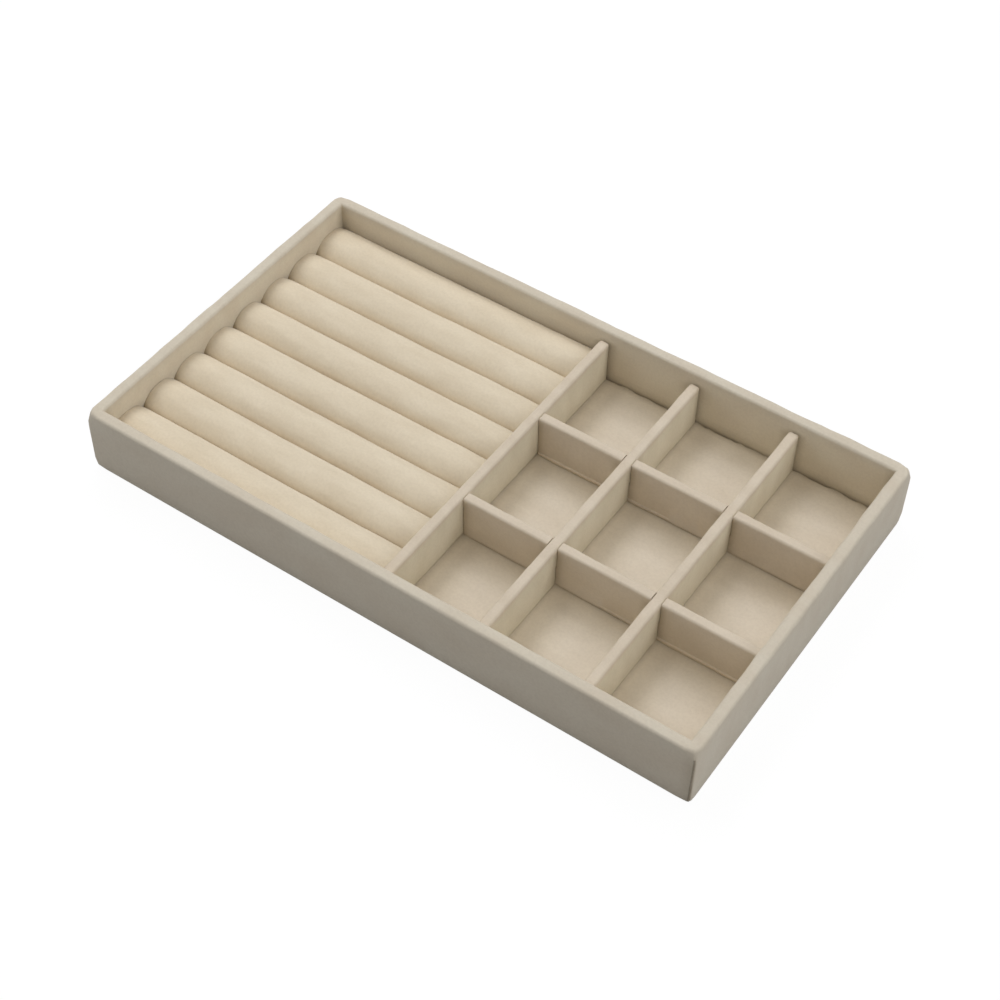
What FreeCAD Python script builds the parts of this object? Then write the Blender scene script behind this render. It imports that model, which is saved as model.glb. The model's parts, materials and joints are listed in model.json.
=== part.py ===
"""Jewelry tray: a fabric-wrapped box, a bank of ring rolls and a cross-lapped divider lattice.

Lengths are in millimetres. X runs along the tray's long side, Y towards the back and Z up.
The origin is the middle of the underside.
"""
import FreeCAD
import Part
import Sketcher
import math
import os
from types import SimpleNamespace

SIZES = {
    # The box over its fabric
    "tray_length": 275.0,
    "tray_depth": 160.0,
    "tray_height": 30.0,
    "corner_radius": 3.5,
    "rim_radius": 1.9,
    "foot_radius": 0.7,
    # Boards and sheets, by thickness
    "fabric": 0.8,
    "wall_board": 3.5,
    "base_board": 2.0,
    "base_sheet": 1.0,
    "floor_card": 1.0,
    "divider_board": 2.8,
    # How the box goes together
    "corner_rebate_share": 0.3,
    "base_rebate_share": 0.5,
    "hem_width": 10.0,
    "hem_lift": 0.2,
    "sheet_gap": 0.5,
    "sheet_radius": 2.0,
    "floor_gap": 0.4,
    "lining_radius": 0.5,
    # The divider lattice
    "ring_bay": 132.6,
    "left_column_share": 0.321,
    "middle_column_share": 0.340,
    "front_row_share": 0.329,
    "middle_row_share": 0.331,
    "divider_drop": 4.7,
    "divider_radius": 1.3,
    "divider_gap": 0.3,
    "notch_share": 0.5,
    "notch_clearance": 0.35,
    # The ring rolls
    "bank_gap": 1.35,
    "roll_height": 16.2,
    "roll_crown": 4.5,
    "roll_clearance": 0.3,
    "roll_end_gap": 0.5,
    "roll_end_depth": 2.0,
    "roll_end_draw": 1.2,
    "roll_end_side_share": 0.5,
}
ROLL_COUNT = 8
# Steps of the quarter ellipse that rounds a roll's end, in degrees from the end face
ROLL_END_STEPS = (0, 30, 60, 90)
# The largest part of a wall's thickness that the rounding of one of its edges may take
EDGE_SHARE = 0.48
TOLERANCE = 1e-4


class Dim:
    """A size that keeps its formula in the sheet's names beside its present value."""

    def __init__(self, text, value):
        self.text = text
        self.value = value

    def _with(self, sign, other, value):
        return Dim(f"({self.text} {sign} {as_dim(other).text})", value)

    def __add__(self, other):
        return self._with("+", other, self.value + as_dim(other).value)

    def __sub__(self, other):
        return self._with("-", other, self.value - as_dim(other).value)

    def __mul__(self, other):
        return self._with("*", other, self.value * as_dim(other).value)

    def __truediv__(self, other):
        return self._with("/", other, self.value / as_dim(other).value)

    def __radd__(self, other):
        return as_dim(other) + self

    def __rsub__(self, other):
        return as_dim(other) - self

    def __rmul__(self, other):
        return as_dim(other) * self

    def __neg__(self):
        return as_dim(0) - self


def as_dim(number):
    """A plain count or factor as a Dim."""
    return number if isinstance(number, Dim) else Dim(str(number), number)


def smaller(first, second):
    """The smaller of two sizes."""
    return Dim(f"min({first.text}; {second.text})", min(first.value, second.value))


doc = FreeCAD.newDocument("jewelry_tray")
sheet = doc.addObject("Spreadsheet::Sheet", "Sizes")
for row, (name, number) in enumerate(SIZES.items(), start=1):
    sheet.set(f"A{row}", name)
    sheet.set(f"B{row}", str(number))
    sheet.setAlias(f"B{row}", name)
doc.recompute()

size = SimpleNamespace(**{name: Dim(f"Sizes.{name}", number) for name, number in SIZES.items()})

# Sizes that follow from the sheet
wall = size.wall_board + 2 * size.fabric
half_length = size.tray_length / 2
half_depth = size.tray_depth / 2
inner_x = half_length - wall
inner_y = half_depth - wall
board_x = half_length - size.fabric
board_y = half_depth - size.fabric
board_top = size.tray_height - size.fabric
base_top = size.base_sheet + size.base_board
floor_top = base_top + size.floor_card + size.fabric
rim_round = smaller(size.rim_radius, EDGE_SHARE * wall)

divider = size.divider_board + 2 * size.fabric
divider_height = size.tray_height - size.divider_drop - floor_top
divider_round = smaller(size.divider_radius, EDGE_SHARE * divider)
notch_half = divider / 2 + size.notch_clearance
notch_depth = divider_height * size.notch_share + size.notch_clearance

main_left = size.ring_bay - inner_x
main_right = main_left + divider
clear_x = inner_x - main_right - 2 * divider
clear_y = 2 * inner_y - 2 * divider
long_places = {
    "long_divider_left": main_right + size.left_column_share * clear_x + divider / 2,
    "long_divider_right":
        main_right + (size.left_column_share + size.middle_column_share) * clear_x + 3 * divider / 2,
}
strip_places = {
    "cross_strip_front": size.front_row_share * clear_y + divider / 2 - inner_y,
    "cross_strip_back":
        (size.front_row_share + size.middle_row_share) * clear_y + 3 * divider / 2 - inner_y,
}

roll_width = (2 * inner_y - 2 * size.bank_gap - (ROLL_COUNT - 1) * size.roll_clearance) / ROLL_COUNT
roll_pitch = roll_width + size.roll_clearance
roll_half = roll_width / 2
roll_length = size.ring_bay - 2 * size.roll_end_gap

nodes = {}


def keep(node, label):
    """Gives a finished piece its label, which names its file."""
    node.Label = label
    nodes[label] = node
    return node


def new_body(name, **place):
    """A body whose place along each named axis is bound to a size."""
    body = doc.addObject("PartDesign::Body", name)
    for axis, dim in place.items():
        body.setExpression(f"Placement.Base.{axis}", dim.text)
    return body


def new_sketch(body, name, role="XY_Plane", offset=None):
    """A sketch on one of the body's own planes, or at an offset from it."""
    sketch = body.newObject("Sketcher::SketchObject", name)
    plane = next(feature for feature in body.Origin.OriginFeatures if feature.Role == role)
    sketch.AttachmentSupport = [(plane, "")]
    sketch.MapMode = "FlatFace"
    if offset is not None:
        sketch.setExpression("AttachmentOffset.Base.z", offset.text)
    return sketch


def hold(sketch, constraint, dim):
    """Adds a dimension to a sketch and binds it."""
    index = sketch.addConstraint(constraint)
    sketch.setExpression(f"Constraints[{index}]", dim.text)


def outline(sketch, points):
    """A closed outline of straight lines whose corners are all dimensioned from the sketch's origin."""
    first = sketch.GeometryCount
    corners = [FreeCAD.Vector(x.value, y.value, 0) for x, y in points]
    following = list(range(1, len(points))) + [0]
    for start, end in enumerate(following):
        sketch.addGeometry(Part.LineSegment(corners[start], corners[end]), False)
    for start, end in enumerate(following):
        sketch.addConstraint(Sketcher.Constraint("Coincident", first + start, 2, first + end, 1))
    for line, (x, y) in enumerate(points, start=first):
        hold(sketch, Sketcher.Constraint("DistanceX", -1, 1, line, 1, x.value), x)
        hold(sketch, Sketcher.Constraint("DistanceY", -1, 1, line, 1, y.value), y)


def rectangle(sketch, x_low, x_high, y_low, y_high):
    """A rectangle between two corners."""
    outline(sketch, [(x_low, y_low), (x_high, y_low), (x_high, y_high), (x_low, y_high)])


def centred(sketch, half_x, half_y):
    """A rectangle about the sketch's origin."""
    rectangle(sketch, -half_x, half_x, -half_y, half_y)


def pad(body, sketch, name, length):
    """Pads a sketch along its normal."""
    feature = body.newObject("PartDesign::Pad", name)
    feature.Profile = sketch
    feature.setExpression("Length", length.text)
    doc.recompute()
    return feature


def round_edges(body, name, radius, wanted):
    """Rounds the edges of the body's tip that a test picks by their bounding box."""
    tip = body.Tip
    edges = [f"Edge{i}" for i, edge in enumerate(tip.Shape.Edges, start=1) if wanted(edge.BoundBox)]
    feature = body.newObject("PartDesign::Fillet", name)
    feature.Base = (tip, edges)
    feature.setExpression("Radius", radius.text)
    doc.recompute()
    return feature


def near(first, second):
    """Whether two present values are the same."""
    return abs(first - second) < TOLERANCE


def level(box, height):
    """Whether an edge lies level at a height."""
    return near(box.ZMin, height) and near(box.ZMax, height)


def upright(box):
    """Whether an edge is a vertical line."""
    return near(box.XLength, 0) and near(box.YLength, 0)


def cut(base, tool, name):
    """What is left of one piece when another is taken out of it."""
    feature = doc.addObject("Part::Cut", name)
    feature.Base = base
    feature.Tool = tool
    doc.recompute()
    return feature


def panel(name, half_x, half_y, bottom, thickness):
    """A flat rectangular panel about the tray's middle."""
    body = new_body(name, z=bottom)
    sketch = new_sketch(body, f"{name}_plan")
    centred(sketch, half_x, half_y)
    pad(body, sketch, f"{name}_pad", thickness)
    return body


def make_long_wall(label, base, turned):
    """A front or back board: rebated at both ends for the side boards and below for the base."""
    tongue = size.wall_board * (1 - size.corner_rebate_share)
    shoulder_x = board_x - size.wall_board
    shoulder_y = tongue - board_y
    inside_y = size.wall_board - board_y
    body = new_body(f"{label}_blank", z=size.base_sheet)
    sketch = new_sketch(body, f"{label}_plan")
    outline(sketch, [
        (-board_x, -board_y), (board_x, -board_y), (board_x, shoulder_y), (shoulder_x, shoulder_y),
        (shoulder_x, inside_y), (-shoulder_x, inside_y), (-shoulder_x, shoulder_y), (-board_x, shoulder_y),
    ])
    pad(body, sketch, f"{label}_pad", board_top - size.base_sheet)
    corner_round = smaller(size.corner_radius - size.fabric, 2 * EDGE_SHARE * tongue)
    round_edges(body, f"{label}_corners", corner_round,
                lambda box: upright(box) and near(box.YMin, -board_y.value))
    if turned:
        body.Placement.Rotation = FreeCAD.Rotation(FreeCAD.Vector(0, 0, 1), 180)
    return keep(cut(body, base, label), label)


def make_side_wall(label, base, side):
    """A left or right board, seated in the rebates of the front and back boards."""
    reach = board_y - size.wall_board * (1 - size.corner_rebate_share)
    inside_x = board_x - size.wall_board
    low, high = (inside_x, board_x) if side > 0 else (-board_x, -inside_x)
    body = new_body(f"{label}_blank", z=size.base_sheet)
    sketch = new_sketch(body, f"{label}_plan")
    rectangle(sketch, low, high, -reach, reach)
    pad(body, sketch, f"{label}_pad", board_top - size.base_sheet)
    return keep(cut(body, base, label), label)


def make_wall_wrap(boards):
    """The fabric over the walls: outside, over the rim and inside, with a hem turned under the base."""
    height = size.tray_height - size.hem_lift
    body = new_body("wrap_block", z=size.hem_lift)
    sketch = new_sketch(body, "wrap_plan")
    centred(sketch, half_length, half_depth)
    centred(sketch, inner_x, inner_y)
    pad(body, sketch, "wrap_pad", height)
    hem = new_sketch(body, "hem_plan")
    centred(hem, half_length - wall / 2, half_depth - wall / 2)
    centred(hem, half_length - size.hem_width, half_depth - size.hem_width)
    pad(body, hem, "hem_pad", size.base_sheet - size.hem_lift)
    top = height.value

    def outermost(box):
        return box.XMax > inner_x.value + TOLERANCE or box.XMin < -inner_x.value - TOLERANCE \
            or box.YMax > inner_y.value + TOLERANCE or box.YMin < -inner_y.value - TOLERANCE

    round_edges(body, "wrap_corners", size.corner_radius, lambda box: upright(box) and outermost(box))
    round_edges(body, "wrap_rim", rim_round, lambda box: level(box, top))
    round_edges(body, "wrap_foot", size.foot_radius, lambda box: level(box, 0) and outermost(box))
    core = doc.addObject("Part::MultiFuse", "box_boards")
    core.Shapes = boards
    doc.recompute()
    return keep(cut(body, core, "wall_wrap"), "wall_wrap")


def make_box():
    """The boards of the box, their fabric and the sheet that the tray rests on."""
    rebate = size.wall_board * (1 - size.base_rebate_share)
    base = panel("base_board", board_x - rebate, board_y - rebate, size.base_sheet, size.base_board)
    keep(base, "base_board")
    boards = [
        base,
        make_long_wall("front_wall_board", base, turned=False),
        make_long_wall("back_wall_board", base, turned=True),
        make_side_wall("left_wall_board", base, side=-1),
        make_side_wall("right_wall_board", base, side=1),
    ]
    make_wall_wrap(boards)
    sheet_inset = size.hem_width + size.sheet_gap
    felt = panel("base_sheet", half_length - sheet_inset, half_depth - sheet_inset, as_dim(0),
                 size.base_sheet)
    round_edges(felt, "sheet_corners", size.sheet_radius, upright)
    keep(felt, "base_sheet")


def make_floor():
    """The card that lies in the tray and the lining drawn over its face and edges."""
    lining_x = inner_x - size.floor_gap
    lining_y = inner_y - size.floor_gap
    card = panel("floor_card", lining_x - size.fabric, lining_y - size.fabric, base_top, size.floor_card)
    keep(card, "floor_card")
    block = panel("lining_block", lining_x, lining_y, base_top, size.floor_card + size.fabric)
    top = (size.floor_card + size.fabric).value
    round_edges(block, "lining_edges", size.lining_radius, lambda box: level(box, top))
    keep(cut(block, card, "floor_lining"), "floor_lining")


def divider_form(name, half, inset, along_x, place, notches, from_above):
    """A divider as its plan, its notches and its rounded edges, drawn in by the inset from the fabric.

    place holds the middle of the divider, half its half length, and notches the places along it
    that the crossing dividers pass.
    """
    body = new_body(name, x=place[0], y=place[1], z=floor_top)
    height = divider_height - inset
    half_run = half - inset
    half_thick = divider / 2 - inset

    def across(sketch, low, high, half_width):
        """A rectangle that runs from low to high along the divider."""
        if along_x:
            rectangle(sketch, low, high, -half_width, half_width)
        else:
            rectangle(sketch, -half_width, half_width, low, high)

    plan = new_sketch(body, f"{name}_plan")
    across(plan, -half_run, half_run, half_thick)
    pad(body, plan, f"{name}_pad", height)
    if notches:
        cutter = new_sketch(body, f"{name}_notch_plan", offset=height if from_above else None)
        for notch in notches:
            across(cutter, notch - notch_half - inset, notch + notch_half + inset, divider)
        pocket = body.newObject("PartDesign::Pocket", f"{name}_notches")
        pocket.Profile = cutter
        pocket.Reversed = not from_above
        depth = notch_depth if from_above else notch_depth + inset
        pocket.setExpression("Length", depth.text)
        doc.recompute()
    top = height.value
    rounding = divider_round * half_thick / (divider / 2)
    round_edges(body, f"{name}_edges", rounding, lambda box: level(box, top))
    return body


def make_divider(label, half, along_x, place, notches=(), from_above=False):
    """A divider of wrapped board: its core and the fabric drawn over it, open below."""
    shape = (along_x, place, notches, from_above)
    core = keep(divider_form(f"{label}_core", half, size.fabric, *shape), f"{label}_core")
    block = divider_form(f"{label}_block", half, as_dim(0), *shape)
    keep(cut(block, core, f"{label}_wrap"), f"{label}_wrap")


def make_lattice():
    """The main divider, the long dividers and the strips that cross-lap with them."""
    middle = as_dim(0)
    run_y = inner_y - size.divider_gap
    make_divider("main_divider", run_y, False, (main_left + divider / 2, middle))
    for label, x in long_places.items():
        make_divider(label, run_y, False, (x, middle), list(strip_places.values()))
    run_x = (inner_x - main_right) / 2 - size.divider_gap
    strip_x = (inner_x + main_right) / 2
    for label, y in strip_places.items():
        notches = [x - strip_x for x in long_places.values()]
        make_divider(label, run_x, True, (strip_x, y), notches, from_above=True)


def crowned(sketch, half, low, top, crown):
    """A roll's section: flat below, straight at its sides and crowned above by one arc."""
    shoulder = top - crown
    corners = [(-half, shoulder), (-half, low), (half, low), (half, shoulder)]
    spots = [FreeCAD.Vector(x.value, y.value, 0) for x, y in corners]
    lines = [sketch.addGeometry(Part.LineSegment(*ends), False) for ends in zip(spots, spots[1:])]
    crest = FreeCAD.Vector(0, top.value, 0)
    arc = sketch.addGeometry(Part.Arc(spots[-1], crest, spots[0]), False)
    for line, follower in zip(lines, lines[1:] + [arc]):
        sketch.addConstraint(Sketcher.Constraint("Coincident", line, 2, follower, 1))
    sketch.addConstraint(Sketcher.Constraint("Coincident", arc, 2, lines[0], 1))
    for line, (x, y) in zip(lines + [arc], corners):
        hold(sketch, Sketcher.Constraint("DistanceX", -1, 1, line, 1, x.value), x)
        hold(sketch, Sketcher.Constraint("DistanceY", -1, 1, line, 1, y.value), y)
    radius = (half * half + crown * crown) / (2 * crown)
    hold(sketch, Sketcher.Constraint("Radius", arc, radius.value), radius)


def make_roll_foam():
    """A roll's foam: a crowned bar inside the sleeve, as long as the roll is full."""
    body = new_body("roll_foam_form")
    half = roll_half - size.fabric
    section = new_sketch(body, "foam_section", "YZ_Plane", size.roll_end_depth)
    crowned(section, half, size.fabric, size.roll_height - size.fabric, size.roll_crown * half / roll_half)
    pad(body, section, "foam_bar", roll_length - 2 * size.roll_end_depth)
    return body


def make_roll_block():
    """A roll's outer form: a crowned bar whose ends are drawn in on a quarter ellipse."""
    body = new_body("roll_block")
    stations = []
    for step in ROLL_END_STEPS:
        angle = math.radians(step)
        inward = size.roll_end_depth * (1 - math.cos(angle))
        draw = size.roll_end_draw * (1 - math.sin(angle))
        stations.append((inward, draw))
    stations += [(roll_length - inward, draw) for inward, draw in stations[::-1]]
    sections = []
    for index, (place, draw) in enumerate(stations, start=1):
        section = new_sketch(body, f"roll_section_{index}", "YZ_Plane", place)
        half = roll_half - draw * size.roll_end_side_share
        crowned(section, half, as_dim(0), size.roll_height - draw, size.roll_crown * half / roll_half)
        sections.append(section)
    loft = body.newObject("PartDesign::AdditiveLoft", "roll_loft")
    loft.Profile = sections[0]
    loft.Sections = sections[1:]
    loft.Ruled = True
    doc.recompute()
    return body


def make_rolls():
    """The bank of equal rolls, side by side between the left wall and the main divider."""
    foam = make_roll_foam()
    sleeve = cut(make_roll_block(), foam, "roll_sleeve_form")
    start_x = size.roll_end_gap - inner_x
    for index in range(ROLL_COUNT):
        y = roll_pitch * (index - (ROLL_COUNT - 1) / 2)
        for form, kind in ((foam, "foam"), (sleeve, "sleeve")):
            label = f"ring_roll_{kind}_{index + 1}"
            copy = new_body(label, x=start_x, y=y, z=floor_top)
            copy.BaseFeature = form
            keep(copy, label)
    doc.recompute()


def check_model():
    """Stops if an object failed, or if a piece isn't one whole valid solid."""
    doc.recompute()
    failed = [thing.Name for thing in doc.Objects if {"Invalid", "Error"} & set(thing.State)]
    if failed:
        raise RuntimeError(f"these objects failed: {failed}")
    for label, node in nodes.items():
        shape = node.Shape
        if shape.isNull() or not shape.isValid() or len(shape.Solids) != 1:
            raise RuntimeError(f"{label} is not one valid solid")
        print(f"{label}: {shape.Volume:.1f} mm3")


make_box()
make_floor()
make_lattice()
make_rolls()
check_model()
os.makedirs("parts", exist_ok=True)
for label, node in nodes.items():
    node.Shape.exportStep(f"parts/{label}.step")
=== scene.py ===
"""Looks of a jewelry tray: a cloth-covered box with padded ring rolls and a lift-out divider lattice.

Lengths are in metres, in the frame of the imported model: X along the long side from the ring rolls to the
compartments, Y towards the back and Z up, with the origin in the middle of the underside.
"""
import json
import logging
import math
from collections.abc import Callable, Iterator, Sequence
from contextlib import contextmanager
from dataclasses import dataclass, field, replace
from enum import Enum

import bmesh
import bpy
from mathutils import Matrix, Vector


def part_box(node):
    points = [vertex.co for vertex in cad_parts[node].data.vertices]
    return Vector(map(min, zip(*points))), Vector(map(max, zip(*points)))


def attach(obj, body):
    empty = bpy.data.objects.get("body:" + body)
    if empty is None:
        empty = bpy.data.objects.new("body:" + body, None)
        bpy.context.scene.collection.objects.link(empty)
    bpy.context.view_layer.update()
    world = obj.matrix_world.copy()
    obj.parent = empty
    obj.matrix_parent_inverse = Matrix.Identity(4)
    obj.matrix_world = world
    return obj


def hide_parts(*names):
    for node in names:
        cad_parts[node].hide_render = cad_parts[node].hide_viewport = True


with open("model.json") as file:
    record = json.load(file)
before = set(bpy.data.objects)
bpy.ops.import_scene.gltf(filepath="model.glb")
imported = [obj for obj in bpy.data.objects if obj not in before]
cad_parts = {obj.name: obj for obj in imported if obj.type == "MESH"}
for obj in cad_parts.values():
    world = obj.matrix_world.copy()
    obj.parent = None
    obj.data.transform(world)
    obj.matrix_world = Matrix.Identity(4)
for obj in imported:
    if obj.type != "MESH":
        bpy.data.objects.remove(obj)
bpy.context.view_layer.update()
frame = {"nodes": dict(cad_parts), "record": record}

LOG = logging.getLogger("jewelry_tray")
MM = 0.001
PLACE_ERROR = 0.02 * MM
AXIS_COSINE = 0.9999
SIDE_COSINE = 0.1
SHARP_ANGLE = math.radians(50)
# Names of the painted values that the cloths read: painted shade in nooks, and painted light, a tint that
# lightens or warms where light or shade falls.
PAINTED_SHADE = "nook"
PAINTED_LIGHT = "lining"
WHITE = (1, 1, 1, 1)
UPRIGHTS = ("main_divider", "long_divider_left", "long_divider_right")
STRIPS = ("cross_strip_front", "cross_strip_back")
Colour = tuple[float, float, float]
Triple = tuple[float, float, float]
Span = tuple[float, float]


class Axis(Enum):
    """The frame's three directions, by their place in a vector."""

    X = 0
    Y = 1
    Z = 2

    def unit(self) -> Vector:
        """Gives the direction as a vector of length one."""
        return Vector([float(place == self.value) for place in range(3)])


class Notches(Enum):
    """Where a divider is notched to cross another."""

    NONE = "none"
    ABOVE = "above"
    BELOW = "below"


def tone(red: int, green: int, blue: int) -> Colour:
    """Turns a colour as a screen shows it, 0 to 255, into the linear light that shaders use."""
    shares = (value / 255 for value in (red, green, blue))
    return tuple(share / 12.92 if share <= 0.04045 else ((share + 0.055) / 1.055) ** 2.4 for share in shares)


def along(start: Vector, end: Vector, axis: Axis) -> bool:
    """Says whether the line between two points runs along a direction."""
    line = end - start
    return abs(line[axis.value]) > AXIS_COSINE * line.length > 0


def at(value: float, place: float) -> bool:
    """Says whether a value is at a place, within the error of the mesh."""
    return abs(value - place) < PLACE_ERROR


def beyond(place: float, start: float, end: float) -> float:
    """Gives how far a place lies outside a stretch, 0 within it."""
    return max(start - place, place - end, 0)


def clamp(value: float, least: float = 0, most: float = 1) -> float:
    """Holds a value between two others."""
    return min(max(value, least), most)


def ease(value: float, start: float, end: float) -> float:
    """Rises softly from 0 at the start to 1 at the end."""
    share = clamp((value - start) / (end - start))
    return share * share * (3 - 2 * share)


def fade(distance: float, reach: float) -> float:
    """Falls softly from 1 at no distance to 0 at the reach."""
    return 1 - ease(distance, 0, reach)


def wraps(names: Sequence[str]) -> list[tuple[Vector, Vector]]:
    """Gives the lowest and the highest corner of each named divider's wrap."""
    return [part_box(f"{name}_wrap") for name in names]


@dataclass(frozen=True)
class Waves:
    """The unevenness of hand-stretched cloth: how far crests stand over hollows, and a hollow's width."""

    height: float
    spread: float


@dataclass(frozen=True)
class Shade:
    """A painted shade in a nook: how dark it is painted, and how far out it reaches."""

    strength: float
    reach: float

    def at(self, distance: float) -> float:
        """Gives the darkness at a distance from the bottom of the nook."""
        return self.strength * fade(distance, self.reach)


class Workpiece:
    """A mesh object on the bench, with the hand tools that shape it."""

    def __init__(self, piece: bpy.types.Object) -> None:
        """Takes up a mesh object."""
        self.piece = piece

    @classmethod
    def block(cls, name: str, low: Vector, high: Vector) -> "Workpiece":
        """Starts a piece from a block between two corners.

        Args:
            name: the piece's name.
            low: the lowest corner.
            high: the highest corner.

        Returns:
            The block, its place and size in its mesh.
        """
        bpy.ops.object.select_all(action="DESELECT")
        bpy.ops.mesh.primitive_cube_add(size=1, location=(low + high) / 2, scale=high - low)
        return cls._take_up(name)

    @classmethod
    def rod(cls, name: str, low: Vector, high: Vector, radius: float, sides: int) -> "Workpiece":
        """Starts a piece from a rod along X.

        Args:
            name: the piece's name.
            low: the middle of its left end.
            high: the middle of its right end.
            radius: half its thickness.
            sides: how many flat sides it has round about.

        Returns:
            The rod, its place and size in its mesh.
        """
        bpy.ops.object.select_all(action="DESELECT")
        bpy.ops.mesh.primitive_cylinder_add(
            vertices=sides, radius=radius, depth=(high - low).length,
            location=(low + high) / 2, rotation=(0, math.pi / 2, 0))
        return cls._take_up(name)

    @classmethod
    def _take_up(cls, name: str) -> "Workpiece":
        """Names the object just added and puts its place into its mesh.

        Args:
            name: the piece's name.

        Returns:
            The piece, at the origin, unturned and unscaled.
        """
        piece = bpy.context.object
        piece.name = piece.data.name = name
        bpy.ops.object.transform_apply(location=True, rotation=True, scale=True)
        return cls(piece)

    def copy(self, name: str, move: Vector) -> "Workpiece":
        """Makes a copy with a mesh of its own.

        Args:
            name: the copy's name.
            move: how far the copy lies from this piece.

        Returns:
            The copy.
        """
        self.hold()
        bpy.ops.object.duplicate(linked=False)
        bpy.context.object.location = move
        return self._take_up(name)

    def hold(self) -> None:
        """Makes this the only selected object and the active one."""
        bpy.ops.object.select_all(action="DESELECT")
        self.piece.select_set(True)
        bpy.context.view_layer.objects.active = self.piece

    @contextmanager
    def editing(self) -> Iterator[None]:
        """Opens the mesh for editing for as long as the block lasts."""
        self.hold()
        bpy.ops.object.mode_set(mode="EDIT")
        yield
        bpy.ops.object.mode_set(mode="OBJECT")

    def _pick(self, kind: str, test: Callable[[object], bool]) -> int:
        """Selects elements of the open mesh and nothing else.

        Args:
            kind: what is picked, faces or edges.
            test: says of an element whether it is picked.

        Returns:
            How many are picked.
        """
        bpy.ops.mesh.select_mode(type=kind)
        bpy.ops.mesh.select_all(action="DESELECT")
        mesh = bmesh.from_edit_mesh(self.piece.data)
        mesh.normal_update()
        elements = mesh.faces if kind == "FACE" else mesh.edges
        picked = [element for element in elements if test(element)]
        for element in picked:
            element.select_set(True)
        bmesh.update_edit_mesh(self.piece.data)
        return len(picked)

    def pick_faces(self, test: Callable[[Vector, Vector], bool]) -> None:
        """Selects the open mesh's faces whose middle and normal pass a test."""
        self._pick("FACE", lambda face: test(face.calc_center_median(), face.normal))

    def pick_edges(self, test: Callable[[Vector, Vector], bool]) -> int:
        """Selects the open mesh's edges whose two ends pass a test, and counts them."""
        return self._pick("EDGE", lambda edge: test(edge.verts[0].co, edge.verts[1].co))

    def round_edges(self, test: Callable[[Vector, Vector], bool], radius: float, steps: int) -> None:
        """Rounds the open mesh's edges whose two ends pass a test, in a number of flat steps."""
        self.pick_edges(test)
        bpy.ops.mesh.bevel(offset=radius, offset_type="OFFSET", segments=steps, affect="EDGES",
                           clamp_overlap=False)

    def round_by_share(self, share: Callable[[Vector, Vector], float], radius: float, steps: int) -> None:
        """Rounds edges of the closed mesh, each by its own share of a radius.

        Args:
            share: gives an edge's share by its two ends, 0 where it stays sharp.
            radius: how far the rounding of a full share reaches from the edge.
            steps: how many flat steps make the round.
        """
        mesh = self.piece.data
        weights = mesh.attributes.new("bevel_weight_edge", "FLOAT", "EDGE")
        for edge in mesh.edges:
            start, end = (mesh.vertices[corner].co for corner in edge.vertices)
            weights.data[edge.index].value = share(start, end)
        self.finish_with("BEVEL", width=radius, segments=steps, limit_method="WEIGHT",
                         offset_type="OFFSET", use_clamp_overlap=False)

    def even_out(self, axis: Axis, longest: float) -> None:
        """Halves the open mesh's edges along a direction until none is longer than a limit."""
        while self.pick_edges(lambda a, b: along(a, b, axis) and (b - a).length > longest):
            bpy.ops.mesh.subdivide(number_cuts=1)

    def slice(self, place: Vector, outward: Vector) -> None:
        """Cuts the open mesh along a plane, throws away what lies beyond it and closes the cut."""
        bpy.ops.mesh.select_all(action="SELECT")
        bpy.ops.mesh.bisect(plane_co=place, plane_no=outward, use_fill=True, clear_outer=True)

    def score(self, place: Vector, across: Vector) -> None:
        """Cuts new edges into the open mesh along a plane."""
        bpy.ops.mesh.select_all(action="SELECT")
        bpy.ops.mesh.bisect(plane_co=place, plane_no=across)

    def nudge(self, move: Callable[[Vector], Vector]) -> None:
        """Moves each point of the mesh to the place that its old one gives."""
        for vertex in self.piece.data.vertices:
            vertex.co = move(vertex.co.copy())

    def finish_with(self, kind: str, **settings: object) -> None:
        """Adds a modifier and applies it.

        Args:
            kind: the modifier's type.
            settings: its settings.
        """
        self.hold()
        modifier = self.piece.modifiers.new(kind.lower(), kind)
        for name, value in settings.items():
            setattr(modifier, name, value)
        bpy.ops.object.modifier_apply(modifier=modifier.name)

    def thicken(self, thickness: float) -> None:
        """Gives a bare surface its thickness, on the inner side."""
        self.finish_with("SOLIDIFY", thickness=thickness, offset=-1, use_even_offset=True)

    def ruffle(self, waves: Waves, group: str = "") -> None:
        """Makes the surface uneven, as hand-stretched cloth is.

        Args:
            waves: how uneven it gets.
            group: the vertex group that is ruffled, or nothing for all of it.
        """
        clouds = bpy.data.textures.new(f"{self.piece.name}_ruffle", "CLOUDS")
        clouds.noise_scale = waves.spread
        clouds.noise_depth = 1
        self.finish_with("DISPLACE", texture=clouds, texture_coords="LOCAL", strength=waves.height,
                         mid_level=0.5, vertex_group=group)

    def group(self, name: str, test: Callable[[Vector], float]) -> str:
        """Makes a vertex group.

        Args:
            name: the group's name.
            test: gives the weight of a point by its place.

        Returns:
            The group's name.
        """
        made = self.piece.vertex_groups.new(name=name)
        for vertex in self.piece.data.vertices:
            made.add([vertex.index], test(vertex.co), "REPLACE")
        return made.name

    def paint(self, name: str, test: Callable[[Vector], float]) -> None:
        """Writes a value to each point of the mesh, for its finish to read.

        Args:
            name: the value's name.
            test: gives the value of a point by its place.
        """
        mesh = self.piece.data
        values = mesh.attributes.new(name, "FLOAT", "POINT")
        for vertex, spot in zip(mesh.vertices, values.data):
            spot.value = test(vertex.co)

    def smooth(self) -> None:
        """Shades the piece smooth but for its sharp edges."""
        self.hold()
        bpy.ops.object.shade_smooth_by_angle(angle=SHARP_ANGLE)

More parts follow.
